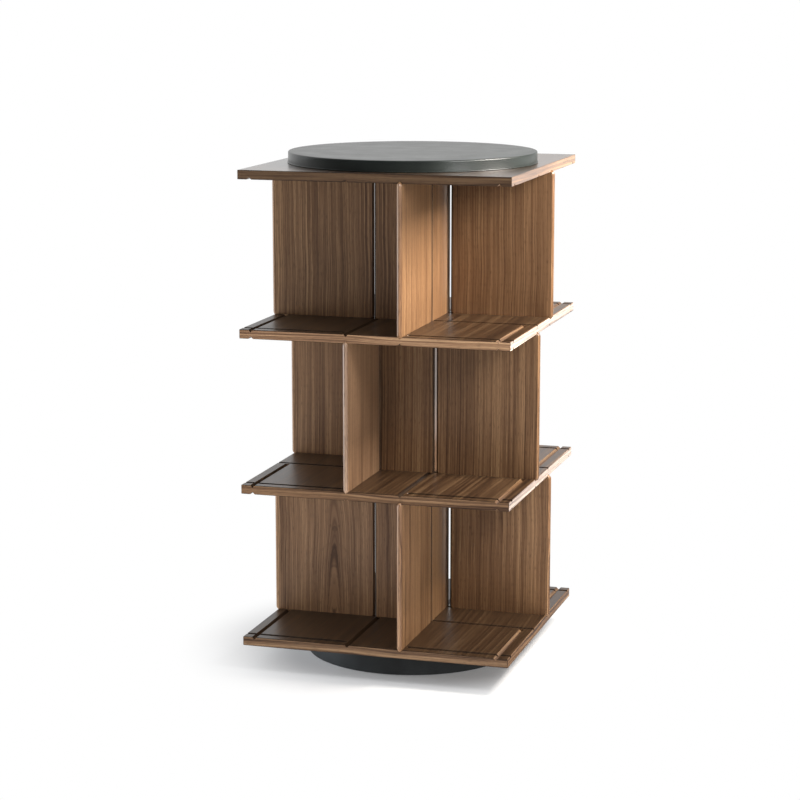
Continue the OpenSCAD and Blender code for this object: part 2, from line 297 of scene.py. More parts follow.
def trunk_place(tree, axes, pith, lean):
    """Turns a place on a piece into one in the trunk that it was cut from: the distance from the
    pith, the depth in the piece, and the place along the grain. The growth rings lie round the
    pith, so they cut the piece in straight stripes where the pith is far to one side, and in
    pointed flames where it leans away behind the face. axes names the ways across, into and along
    the piece. pith says where the pith runs across and behind the origin, and lean how fast it
    leans away along the grain."""
    values = bpy.context.scene.walnut
    coords = add_node(tree, "ShaderNodeTexCoord")
    parts = add_node(tree, "ShaderNodeSeparateXYZ", {"Vector": coords.outputs["Object"]})
    across, depth, along = (parts.outputs[axis] for axis in axes)
    bend = add_node(tree, "ShaderNodeTexNoise", {
        "W": along, "Scale": 1 / values.bend_length, "Detail": 1.0}, noise_dimensions="1D")
    sway = add_node(tree, "ShaderNodeMath", {
        0: bend.outputs["Fac"], 1: values.bend, 2: -pith[0]}, operation="MULTIPLY_ADD")
    aside = add_node(tree, "ShaderNodeMath", {0: across, 1: sway.outputs[0]}, operation="ADD")
    behind = add_node(tree, "ShaderNodeMath", {
        0: along, 1: lean, 2: pith[1]}, operation="MULTIPLY_ADD")
    behind = add_node(tree, "ShaderNodeMath", {0: behind.outputs[0], 1: depth}, operation="ADD")
    spoke = add_node(tree, "ShaderNodeCombineXYZ", {"X": aside.outputs[0], "Y": behind.outputs[0]})
    ring = add_node(tree, "ShaderNodeVectorMath", {0: spoke.outputs[0]}, operation="LENGTH")
    place = add_node(tree, "ShaderNodeCombineXYZ", {
        "X": ring.outputs["Value"], "Y": depth, "Z": along})
    return place.outputs[0]


def streaks(tree, place, width, length, detail):
    """Noise drawn out along the grain, so many metres wide and long, and less wide than deep."""
    width_per_depth = 0.3
    depth = width / width_per_depth
    mapping = add_node(tree, "ShaderNodeMapping", {
        "Vector": place, "Scale": (1 / width, 1 / depth, 1 / length)})
    noise = add_node(tree, "ShaderNodeTexNoise", {
        "Vector": mapping.outputs[0], "Scale": 1.0, "Detail": detail, "Roughness": 0.6})
    return noise.outputs["Fac"]


def walnut(name, cut, contrast, spread, coat):
    """Walnut veneer, sliced, sanded and finished with satin lacquer: fine stripes in many browns
    with pale lines among them, short dark pores along the grain, and a soft sheen at a low angle.
    Fibres and pores are drawn several times as wide as real ones, so that they show. cut gives the
    place in the trunk and the tone, which carries painted light and shade. Where the tone is high
    the wood is drawn greyer as well as paler, a painted sheen."""
    values = bpy.context.scene.walnut
    material, tree, shader = new_material(name)
    place, tone = cut(tree)

    stripes = streaks(tree, place, values.stripe_width * spread, values.stripe_length, 3.0)
    bands = streaks(tree, place, values.band_width, values.band_length, 1.0)
    fibres = streaks(tree, place, values.fibre_width, values.fibre_length, 1.0)
    pores = streaks(tree, place, values.fibre_width, values.pore_length, 0.0)

    mix = 0.0
    for layer, share in ((bands, 0.3), (stripes, 1.0), (fibres, 0.35)):
        added = add_node(tree, "ShaderNodeMath", {0: layer, 1: share, 2: mix}, operation="MULTIPLY_ADD")
        mix = added.outputs[0]
    middle, reach = 0.845, 0.35 / contrast
    level = add_node(tree, "ShaderNodeMapRange", {
        "Value": mix, "From Min": middle - reach, "From Max": middle + reach})
    shades = add_node(tree, "ShaderNodeValToRGB", {"Fac": level.outputs[0]})
    set_ramp(shades, [(0.1, values.dark), (0.48, values.middle), (0.9, values.light)])
    opened = add_node(tree, "ShaderNodeMapRange", {
        "Value": pores, "From Min": 0.6, "From Max": 0.75, "To Max": 0.35})
    coloured = add_node(tree, "ShaderNodeMix", {
        "Factor": opened.outputs[0], 6: shades.outputs[0], 7: values.pore}, data_type="RGBA")
    # The tone scales the colour and carries painted light and shade; a high tone also greys the wood, a
    # painted sheen.
    painted_sheen_grey = add_node(tree, "ShaderNodeMapRange", {
        "Value": tone, "From Min": 1.2, "From Max": 1.6, "To Min": 1.0, "To Max": 0.5})
    toned = add_node(tree, "ShaderNodeHueSaturation", {
        "Saturation": painted_sheen_grey.outputs[0], "Value": tone, "Color": coloured.outputs[2]})

    sheen = add_node(tree, "ShaderNodeMapRange", {
        "Value": stripes, "To Min": values.roughness - 0.05, "To Max": values.roughness + 0.08})
    relief = add_node(tree, "ShaderNodeBump", {
        "Strength": 0.25, "Distance": values.relief, "Height": fibres})
    set_inputs(shader, {
        "Base Color": toned.outputs[0], "Roughness": sheen.outputs[0], "Normal": relief.outputs[0],
        "IOR": 1.5, "Coat Weight": coat, "Coat Roughness": 0.25})
    return material


def way_out(side):
    """The way in which a panel runs out from the core, so many quarter turns from the front."""
    return Matrix.Rotation(side * math.pi / 2, 3, "Z") @ Vector((0, -1, 0))


def tone_with_painted_ends(tree, way, tone, inner, outer):
    """The tone of a panel, with other shares of it on its inner end and on its outer end, which paint
    shade in the joints and light on a lit edge. The bevels of the ends count with them."""
    coords = add_node(tree, "ShaderNodeTexCoord")
    facing = add_node(tree, "ShaderNodeVectorMath", {
        0: coords.outputs["Normal"], 1: way}, operation="DOT_PRODUCT")
    face, bevel = 0.3, 0.65
    inside = add_node(tree, "ShaderNodeMapRange", {
        "Value": facing.outputs["Value"], "From Min": -bevel, "From Max": -face,
        "To Min": tone * inner, "To Max": tone})
    outside = add_node(tree, "ShaderNodeMapRange", {
        "Value": facing.outputs["Value"], "From Min": face, "From Max": bevel,
        "To Min": 1.0, "To Max": outer})
    both = add_node(tree, "ShaderNodeMath", {
        0: inside.outputs[0], 1: outside.outputs[0]}, operation="MULTIPLY")
    return both.outputs[0]


def upright_walnut(name, tier, side, inner, outer):
    """Walnut for an upright panel of a tier, that runs out so many quarter turns from the front.
    inner and outer are the shares of its tone on its ends: below 1 they are painted shade in the
    joints, above 1 painted light on an edge. The leaves of veneer are numbered from the lower tier up.
    One in nine was cut close to the pith and shows flames, and the others far from it, so that they
    show straight stripes."""
    tones = bpy.context.scene.tones
    is_wide = side % 2 == 1
    axes = "XYZ" if is_wide else "YXZ"
    low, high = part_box(name)
    centre = (low + high) / 2
    across, depth, height = (centre["XYZ".index(axis)] for axis in axes)
    leaf = len(SIDES) * tier + side
    if leaf % 9 == 3:
        aside, behind, lean = 0.03, 0.035, 0.035
        pith = (across + aside, behind - lean * height - depth)
    else:
        aside, behind, lean = 0.45 + 0.07 * leaf, 0.1, 0.01
        pith = (across + aside, behind)
    # Painted light on the panels that run from front to back, painted shade on those that run from side
    # to side.
    tone = (tones.shaded_wide_panels if is_wide else tones.lit_deep_panels)[tier]

    def cut(tree):
        return trunk_place(tree, axes, pith, lean), tone_with_painted_ends(tree, way_out(side), tone, inner, outer)

    coat = bpy.context.scene.walnut.coat
    return walnut("Lacquered walnut " + name, cut, contrast=1.0, spread=1.0, coat=coat)


def leather(name, colour, shade, roughness):
    """Smooth full-grain leather: matt, softly mottled, paler at a low angle. Its fine pebble is
    drawn coarser than the real one, so that it shows."""
    pebble_depth = 0.0002
    values = bpy.context.scene.leather
    material, tree, shader = new_material(name)
    coords = add_node(tree, "ShaderNodeTexCoord")
    mottle = add_node(tree, "ShaderNodeTexNoise", {
        "Vector": coords.outputs["Object"], "Scale": 1 / values.mottle_size, "Detail": 4.0})
    pebble = add_node(tree, "ShaderNodeTexVoronoi", {
        "Vector": coords.outputs["Object"], "Scale": 1 / values.grain_size}, feature="F1")
    patch = add_node(tree, "ShaderNodeMapRange", {
        "Value": mottle.outputs["Fac"], "From Min": 0.35, "From Max": 0.65})
    tint = add_node(tree, "ShaderNodeMix", {
        "Factor": patch.outputs[0], 6: colour, 7: shade}, data_type="RGBA")
    wear = add_node(tree, "ShaderNodeMapRange", {
        "Value": mottle.outputs["Fac"], "To Min": roughness - 0.06, "To Max": roughness + 0.06})
    relief = add_node(tree, "ShaderNodeBump", {
        "Strength": 0.35, "Distance": pebble_depth, "Height": pebble.outputs["Distance"]})
    set_inputs(shader, {
        "Base Color": tint.outputs[2], "Roughness": wear.outputs[0], "Normal": relief.outputs[0],
        "IOR": 1.45, "Coat Weight": 0.25, "Coat Roughness": 0.25})
    return material


def steel(name, pale, dark, smooth, rough):
    """Bright steel. Zinc plate leaves it grey and slightly cloudy, grinding paler and more even."""
    cloud_size = 0.012
    material, tree, shader = new_material(name)
    coords = add_node(tree, "ShaderNodeTexCoord")
    cloud = add_node(tree, "ShaderNodeTexNoise", {
        "Vector": coords.outputs["Object"], "Scale": 1 / cloud_size, "Detail": 3.0})
    tint = add_node(tree, "ShaderNodeMix", {
        "Factor": cloud.outputs["Fac"], 6: srgb(pale), 7: srgb(dark)}, data_type="RGBA")
    dull = add_node(tree, "ShaderNodeMapRange", {
        "Value": cloud.outputs["Fac"], "To Min": smooth, "To Max": rough})
    set_inputs(shader, {
        "Base Color": tint.outputs[2], "Roughness": dull.outputs[0], "Metallic": 1.0})
    return material


def fibreboard():
    """Medium-density fibreboard: even tan board with a faint fleck of fibres, quite matt."""
    fleck_size = 0.0015
    material, tree, shader = new_material("Fibreboard")
    coords = add_node(tree, "ShaderNodeTexCoord")
    fleck = add_node(tree, "ShaderNodeTexNoise", {
        "Vector": coords.outputs["Object"], "Scale": 1 / fleck_size, "Detail": 3.0})
    tint = add_node(tree, "ShaderNodeMix", {
        "Factor": fleck.outputs["Fac"], 6: srgb("#9c7f5c"), 7: srgb("#7d6344")}, data_type="RGBA")
    set_inputs(shader, {"Base Color": tint.outputs[2], "Roughness": 0.85})
    return material


def beech():
    """Turned beech: pale and even, with short brown flecks along the dowel."""
    fleck_width, fleck_length = 0.0007, 0.003
    material, tree, shader = new_material("Turned beech")
    coords = add_node(tree, "ShaderNodeTexCoord")
    mapping = add_node(tree, "ShaderNodeMapping", {
        "Vector": coords.outputs["Object"],
        "Scale": (1 / fleck_width, 1 / fleck_width, 1 / fleck_length)})
    fleck = add_node(tree, "ShaderNodeTexNoise", {
        "Vector": mapping.outputs[0], "Scale": 1.0, "Detail": 2.0})
    level = add_node(tree, "ShaderNodeMapRange", {
        "Value": fleck.outputs["Fac"], "From Min": 0.5, "From Max": 0.75})
    tint = add_node(tree, "ShaderNodeMix", {
        "Factor": level.outputs[0], 6: srgb("#d2ad7e"), 7: srgb("#a97c50")}, data_type="RGBA")
    set_inputs(shader, {"Base Color": tint.outputs[2], "Roughness": 0.6})
    return material


def black_paint():
    """Powder-coated steel: black, satin, with a fine orange peel."""
    peel_size, peel_depth = 0.0015, 0.0002
    material, tree, shader = new_material("Black powder coat")
    coords = add_node(tree, "ShaderNodeTexCoord")
    peel = add_node(tree, "ShaderNodeTexNoise", {
        "Vector": coords.outputs["Object"], "Scale": 1 / peel_size, "Detail": 1.0})
    tint = add_node(tree, "ShaderNodeMix", {
        "Factor": peel.outputs["Fac"], 6: srgb("#1b1c1d"), 7: srgb("#242526")}, data_type="RGBA")
    relief = add_node(tree, "ShaderNodeBump", {
        "Strength": 0.3, "Distance": peel_depth, "Height": peel.outputs["Fac"]})
    set_inputs(shader, {
        "Base Color": tint.outputs[2], "Roughness": 0.5, "Normal": relief.outputs[0]})
    return material


def felt():
    """Pressed wool felt: charcoal, fibrous and fully matt. Its fibres are drawn in tufts, since a
    single one doesn't show."""
    tuft_size, tuft_depth = 0.0008, 0.0004
    material, tree, shader = new_material("Pressed wool felt")
    coords = add_node(tree, "ShaderNodeTexCoord")
    fuzz = add_node(tree, "ShaderNodeTexNoise", {
        "Vector": coords.outputs["Object"], "Scale": 1 / tuft_size, "Detail": 4.0})
    tint = add_node(tree, "ShaderNodeMix", {
        "Factor": fuzz.outputs["Fac"], 6: srgb("#2b2b2d"), 7: srgb("#4a4a4c")}, data_type="RGBA")
    relief = add_node(tree, "ShaderNodeBump", {
        "Strength": 0.6, "Distance": tuft_depth, "Height": fuzz.outputs["Fac"]})
    set_inputs(shader, {
        "Base Color": tint.outputs[2], "Roughness": 0.95, "Normal": relief.outputs[0]})
    return material


# Modelling

def select_parts(kind, test):
    """Selects the vertices, edges or faces of the mesh in edit mode that pass a test, and no others.
    kind is VERT, EDGE or FACE."""
    bpy.ops.mesh.select_all(action="DESELECT")
    bpy.ops.mesh.select_mode(type=kind)
    shape = bmesh.from_edit_mesh(bpy.context.object.data)
    parts = {"VERT": shape.verts, "EDGE": shape.edges, "FACE": shape.faces}[kind]
    for part in parts:
        part.select_set(test(part))
    bmesh.update_edit_mesh(bpy.context.object.data)


def level_edge(z, radius=None):
    """A test that an edge lies level at a height, and if asked that its ends are at a radius."""
    def test(edge):
        is_level = all(abs(vert.co.z - z) < CLOSE for vert in edge.verts)
        return is_level and (radius is None or at_radius(edge, radius))
    return test


def at_radius(edge, radius):
    """Whether the ends of an edge are so far from the turning axis."""
    return all(abs(vert.co.xy.length - radius) < CLOSE for vert in edge.verts)


def shape_edges(test, offset, segments=1):
    """Bevels the edges of the mesh in edit mode that pass a test."""
    select_parts("EDGE", test)
    bpy.ops.mesh.bevel(offset=offset, segments=segments, affect="EDGES", clamp_overlap=False)


def start_turned(name, radius, low, high, corners=256):
    """Starts a round piece about the turning axis from a cylinder, and leaves it in edit mode.
    Its place is in its mesh, so its object stands at the origin."""
    bpy.ops.object.select_all(action="DESELECT")
    bpy.ops.mesh.primitive_cylinder_add(
        vertices=corners, radius=radius, depth=high - low, location=(0, 0, (low + high) / 2))
    bpy.context.object.name = name
    bpy.ops.object.transform_apply(location=True, rotation=True, scale=True)
    bpy.ops.object.mode_set(mode="EDIT")
    return bpy.context.object


def copy_to(model, name, place):
    """A copy of a model with its own mesh, put in its place with its object at the origin, and
    left in edit mode."""
    piece = model.copy()
    piece.data = model.data.copy()
    piece.name = name
    bpy.context.collection.objects.link(piece)
    piece.data.transform(place)
    bpy.ops.object.select_all(action="DESELECT")
    piece.select_set(True)
    bpy.context.view_layer.objects.active = piece
    bpy.ops.object.mode_set(mode="EDIT")
    return piece


def ring_places(count, radius):
    """The places of so many pieces on a circle round the turning axis."""
    outwards = Matrix.Translation((radius, 0, 0))
    return [Matrix.Rotation(2 * math.pi * i / count, 4, "Z") @ outwards for i in range(count)]


def sink_seam(point, normal, depth, test):
    """Cuts two lines a seam's width apart through the mesh in edit mode, either side of a plane,
    and sinks the strip between them on the faces that pass a test."""
    half = bpy.context.scene.leather.seam_width / 2
    point, normal = Vector(point), Vector(normal)
    for step in (-half, half):
        bpy.ops.mesh.select_all(action="SELECT")
        bpy.ops.mesh.bisect(plane_co=point + normal * step, plane_no=normal)
    select_parts("FACE", lambda face: abs(
        (face.calc_center_median() - point).dot(normal)) < half and test(face))
    bpy.ops.mesh.extrude_region_shrink_fatten(
        MESH_OT_extrude_region={}, TRANSFORM_OT_shrink_fatten={"value": -depth})


def finish_piece(piece, material, body, slot, *nodes):
    """Leaves edit mode, smooths what is round, puts the material on, puts the piece on the body
    that it rides on, and hides the nodes that it stands for."""
    bpy.ops.mesh.select_all(action="SELECT")
    bpy.ops.mesh.remove_doubles(threshold=CLOSE / 10)
    bpy.ops.mesh.normals_make_consistent(inside=False)
    bpy.ops.object.mode_set(mode="OBJECT")
    bpy.ops.object.shade_smooth_by_angle(angle=math.radians(35))
    piece.data.materials.clear()
    piece.data.materials.append(material)
    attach(piece, body)
    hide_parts(*nodes)


# Steps

class BOOKSHELF_OT_boards(bpy.types.Operator):
    """Give the four square boards their walnut"""
    bl_idname = "bookshelf.boards"
    bl_label = "Boards"

    def execute(self, context):
        tones = context.scene.tones
        for i, name in enumerate(BOARDS):
            dress(name, walnut("Lacquered walnut " + name, lambda tree: self.cut(tree, i, tones),
                               tones.contrast, tones.spread, tones.coats[i]))
        return {"FINISHED"}

    def cut(self, tree, board, tones):
        """The grain runs from front to back, and along the lippings of the front and back edges.
        Each board and each board's lippings have their own place in the trunk. The lippings and
        the side edges are paler than the faces: the faces darker partly with painted shade, the
        lippings partly with painted light and shade, and the side edges paler and greyer with a
        painted highlight."""
        face = trunk_place(tree, "XZY", pith=(0.7 + 0.13 * board, 0.3), lean=0.01)
        lipping = trunk_place(tree, "ZYX", pith=(0.5 + 0.1 * board, 0.3), lean=0.005)
        coords = add_node(tree, "ShaderNodeTexCoord")
        normal = add_node(tree, "ShaderNodeSeparateXYZ", {"Vector": coords.outputs["Normal"]})
        forwards = add_node(tree, "ShaderNodeMath", {0: normal.outputs["Y"]}, operation="ABSOLUTE")
        is_lipping = add_node(tree, "ShaderNodeMath", {
            0: forwards.outputs[0], 1: 0.8}, operation="GREATER_THAN")
        place = add_node(tree, "ShaderNodeMix", {
            "Factor": is_lipping.outputs[0], 4: face, 5: lipping}, data_type="VECTOR")
        sideways = add_node(tree, "ShaderNodeMath", {0: normal.outputs["X"]}, operation="ABSOLUTE")
        is_side = add_node(tree, "ShaderNodeMapRange", {
            "Value": sideways.outputs[0], "From Min": 0.75, "From Max": 1.0})
        # The side edges take their own paler tone, a painted highlight.
        tone = add_node(tree, "ShaderNodeMix", {
            "Factor": is_side.outputs[0], 2: tones.boards[board], 3: tones.lit_side_edges[board]},
            data_type="FLOAT")
        tone = add_node(tree, "ShaderNodeMix", {
            "Factor": is_lipping.outputs[0], 2: tone.outputs[0], 3: tones.lippings[board]},
            data_type="FLOAT")
        return place.outputs[1], self.groove_shade_and_light(tree, tones, coords, normal, tone)

    def groove_shade_and_light(self, tree, tones, coords, normal, tone):
        """The tone of a board, with painted shade on the slopes of its grooves, and painted light on
        those near the side edges that look outwards. A slope looks up or down at 45 degrees. The middle
        grooves lie less than 0.14 m to the side, and those near the side edges more than 0.2 m."""
        upwards = add_node(tree, "ShaderNodeMath", {0: normal.outputs["Z"]}, operation="ABSOLUTE")
        is_slope = add_node(tree, "ShaderNodeMath", {
            0: upwards.outputs[0], 1: math.sqrt(0.5), 2: 0.1}, operation="COMPARE")
        place = add_node(tree, "ShaderNodeSeparateXYZ", {"Vector": coords.outputs["Object"]})
        outwards = add_node(tree, "ShaderNodeMath", {
            0: normal.outputs["X"], 1: place.outputs["X"]}, operation="MULTIPLY")
        near, far = 0.14 * math.sqrt(0.5), 0.2 * math.sqrt(0.5)
        slope = add_node(tree, "ShaderNodeMapRange", {
            "Value": outwards.outputs[0], "From Min": near, "From Max": far,
            "To Min": tones.slope, "To Max": tones.lit_outer_slope})
        mixed = add_node(tree, "ShaderNodeMix", {
            "Factor": is_slope.outputs[0], 2: tone.outputs[0], 3: slope.outputs[0]}, data_type="FLOAT")
        return mixed.outputs[0]


class BOOKSHELF_OT_core(bpy.types.Operator):
    """Give the core's walls their upright walnut, with painted shade on the bevels at their ends"""
    bl_idname = "bookshelf.core"
    bl_label = "Core walls"

    def execute(self, context):
        joint = context.scene.tones.joint
        for t, tier in enumerate(TIERS):
            for s, side in enumerate(SIDES):
                name = f"core_wall_{tier}_{side}"
                # A wall stands a quarter turn on from the fin of its side.
                # Painted shade on the bevels at both ends of each wall, in the joints.
                dress(name, upright_walnut(name, t, s + 1, joint, joint))
        return {"FINISHED"}


class BOOKSHELF_OT_fins(bpy.types.Operator):
    """Make the fins: upright walnut panels with bevelled edges and rounded corners"""
    bl_idname = "bookshelf.fins"
    bl_label = "Fins"

    def execute(self, context):
        values, tones = context.scene.fins, context.scene.tones
        model = self.model(values)
        for t, tier in enumerate(TIERS):
            for s, side in enumerate(SIDES):
                node = f"fin_{tier}_{side}"
                joint = values.joint_right[t] if side == "right" else values.joint
                piece = self.fin(model, node, s, joint)
                # Painted shade on the inner end's bevels in the joint, and painted light on the outer
                # edge.
                wood = upright_walnut(node, t, s, tones.joint, tones.lit_fin_edge)
                finish_piece(piece, wood, "carcass", "walnut_panels", node)
        bpy.data.objects.remove(model)
        return {"FINISHED"}

    def model(self, values):
        """The front fin of the lowest tier, with its middle at the origin."""
        low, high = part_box("fin_lower_front")
        bpy.ops.object.select_all(action="DESELECT")
        bpy.ops.mesh.primitive_cube_add(size=1, location=(0, 0, 0))
        model = bpy.context.object
        model.name = "fin_model"
        model.scale = high - low
        bpy.ops.object.transform_apply(location=True, rotation=True, scale=True)
        bpy.ops.object.mode_set(mode="EDIT")
        shape_edges(lambda edge: not self.is_on_face(edge), values.corner, 8)
        shape_edges(self.is_on_face, values.bevel)
        bpy.ops.object.mode_set(mode="OBJECT")
        return model

    def is_on_face(self, edge):
        """Whether an edge of the model lies on one of its faces, and doesn't cross its thickness."""
        return abs(edge.verts[0].co.x - edge.verts[1].co.x) < CLOSE

    def fin(self, model, node, side, joint):
        """A fin in its place, its inner end drawn back from the core to leave an open joint."""
        low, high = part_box(node)
        centre = (low + high) / 2
        turn = Matrix.Rotation(side * math.pi / 2, 4, "Z")
        piece = copy_to(model, node + "_panel", Matrix.Translation(centre) @ turn)
        outwards = way_out(side)
        select_parts("VERT", lambda vert: (vert.co - centre).dot(outwards) < 0)
        bpy.ops.transform.translate(value=outwards * joint)
        return piece


class BOOKSHELF_OT_round_top(bpy.types.Operator):
    """Make the leather-covered round top: a pad with a rounded edge, its rim and its piping"""
    bl_idname = "bookshelf.round_top"
    bl_label = "Round top"

    def execute(self, context):
        values = context.scene.leather
        hide = leather("Grey full-grain leather", values.top, values.top_shade, values.top_roughness)
        self.cover(values, hide)
        self.piping(values, hide)
        dress("disc_core", fibreboard())
        dress("disc_dowels", beech())
        return {"FINISHED"}

    def cover(self, values, hide):
        """The leather on top is turned down over the edge and sewn to the rim's. The rim's ends
        are sewn at the back. A border inside the edge keeps the shading of the top even."""
        rim_low, rim_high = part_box("disc_leather_rim")
        top_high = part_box("disc_leather_top")[1]
        radius = rim_high.x
        piece = start_turned("round_top_cover", radius, rim_low.z, top_high.z)
        shape_edges(level_edge(top_high.z, radius), values.edge_radius, 5)
        select_parts("FACE", lambda face: face.normal.z > 0.99)
        bpy.ops.mesh.inset(thickness=radius / 10, depth=0.0)
        seam_height = rim_high.z - values.seam_width
        sink_seam((0, 0, seam_height), (0, 0, 1), values.seam_depth,
                  lambda face: abs(face.normal.z) < 0.5)
        sink_seam((0, 0, 0), (1, 0, 0), values.seam_depth,
                  lambda face: face.calc_center_median().y > 0 and abs(face.normal.z) < 0.5
                  and face.calc_center_median().z < seam_height - values.seam_width / 2)
        finish_piece(piece, hide, "carcass", "grey_leather", "disc_leather_top", "disc_leather_rim")

    def piping(self, values, hide):
        """A piping of the same leather at the foot of the rim, its two ends butted at the back."""
        low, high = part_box("disc_piping")
        thick = (high.z - low.z) / 2
        bpy.ops.object.select_all(action="DESELECT")
        bpy.ops.mesh.primitive_torus_add(
            major_radius=high.x - thick, minor_radius=thick, major_segments=256, minor_segments=16,
            location=(0, 0, low.z + thick))
        piece = bpy.context.object
        piece.name = "round_top_piping"
        bpy.ops.object.transform_apply(location=True, rotation=True, scale=True)
        bpy.ops.object.mode_set(mode="EDIT")
        sink_seam((0, 0, 0), (1, 0, 0), values.seam_depth / 2,
                  lambda face: face.calc_center_median().y > 0)
        finish_piece(piece, hide, "carcass", "grey_leather", "disc_piping")


class BOOKSHELF_OT_base(bpy.types.Operator):
    """Make the round base's leather and its felt glides, and dress its drum and plate"""
    bl_idname = "bookshelf.base"
    bl_label = "Round base"

    def execute(self, context):
        values = context.scene.round_base
        self.cover(values, context.scene.leather)
        self.glides(values)
        dress("base_drum", fibreboard())
        dress("base_plate", black_paint())
        return {"FINISHED"}

    def cover(self, values, hides):
        """A strip of leather glued round the drum, its edges turned and its ends sewn at the back."""
        low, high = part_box("base_leather")
        radius = high.x
        inner = radius - values.skin
        piece = start_turned("round_base_cover", radius, low.z, high.z)
        select_parts("FACE", lambda face: abs(face.normal.z) > 0.99)
        bpy.ops.mesh.inset(thickness=values.skin, depth=0.0)
        bpy.ops.mesh.delete(type="FACE")
        select_parts("EDGE", lambda edge: at_radius(edge, inner))
        bpy.ops.mesh.bridge_edge_loops()
        for height in (low.z, high.z):
            shape_edges(level_edge(height, radius), values.turned_edge, 3)
        sink_seam((0, 0, 0), (1, 0, 0), hides.seam_depth,
                  lambda face: face.calc_center_median().y > inner + values.skin / 4
                  and abs(face.normal.z) < 0.5)
        hide = leather("Black full-grain leather", hides.base, hides.base_shade, hides.base_roughness)
        finish_piece(piece, hide, "base", "black_leather", "base_leather")

    def glides(self, values):
        """Discs of felt with a bevelled lower edge, all cut with the same punch."""
        low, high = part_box("glides")
        wool = felt()
        model = start_turned("glide_model", values.glide_radius, low.z, high.z, 48)
        shape_edges(level_edge(low.z), values.glide_edge, 2)
        bpy.ops.object.mode_set(mode="OBJECT")
        places = ring_places(values.glide_count, high.x - values.glide_radius)
        for i, place in enumerate(places, 1):
            piece = copy_to(model, f"glide_{i}", place)
            finish_piece(piece, wool, "base", "felt", "glides")
        bpy.data.objects.remove(model)


class BOOKSHELF_OT_hardware(bpy.types.Operator):
    """Make the base plate's screws, and dress the bearing, the tie rod and the other screws"""
    bl_idname = "bookshelf.hardware"
    bl_label = "Bearing and fasteners"

    def execute(self, context):
        zinc = steel("Zinc plated steel", "#b4b6b4", "#9c9fa2", 0.28, 0.45)
        ground = steel("Ground bearing steel", "#c6c8c9", "#bcbec0", 0.14, 0.22)
        for name in ("ball_cage", "lower_race_screws", "upper_race_screws", "tie_rod",
                     "lower_washer", "lower_nut", "upper_washer", "upper_nut"):
            dress(name, zinc)
        for name in ("lower_race", "upper_race", "bearing_balls"):
            dress(name, ground)
        self.screws(context.scene.screws, zinc)
        return {"FINISHED"}

    def screws(self, values, zinc):
        """Countersunk screws with a hexagon socket, their heads flush with the plate's underside."""
        low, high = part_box("base_plate_screws")
        cone = values.head - values.shank
        model = start_turned("screw_model", values.shank, low.z + cone, high.z, 32)
        shape_edges(level_edge(high.z), values.tip)
        select_parts("FACE", lambda face: face.normal.z < -0.99)
        wide = values.head / values.shank
        bpy.ops.mesh.extrude_region_move(TRANSFORM_OT_translate={"value": (0, 0, -cone)})
        bpy.ops.transform.resize(value=(wide, wide, 1), center_override=(0, 0, low.z))
        bpy.ops.object.mode_set(mode="OBJECT")
        self.cut_socket(model, low.z, values)
        for i, place in enumerate(ring_places(values.count, high.x - values.head), 1):
            piece = copy_to(model, f"plate_screw_{i}", place)
            finish_piece(piece, zinc, "base", "zinc_plate", "base_plate_screws")
        bpy.data.objects.remove(model)

    def cut_socket(self, model, face, values):
        """Cuts the hexagon socket into the screw's head, whose face is at a height."""
        bpy.ops.object.select_all(action="DESELECT")
        bpy.ops.mesh.primitive_cylinder_add(
            vertices=6, radius=values.socket, depth=2 * values.socket_depth, location=(0, 0, face))
        cutter = bpy.context.object
        socket = model.modifiers.new("Socket", "BOOLEAN")
        socket.operation = "DIFFERENCE"
        socket.object = cutter
        bpy.context.view_layer.objects.active = model
        bpy.ops.object.modifier_apply(modifier=socket.name)
        bpy.data.objects.remove(cutter)


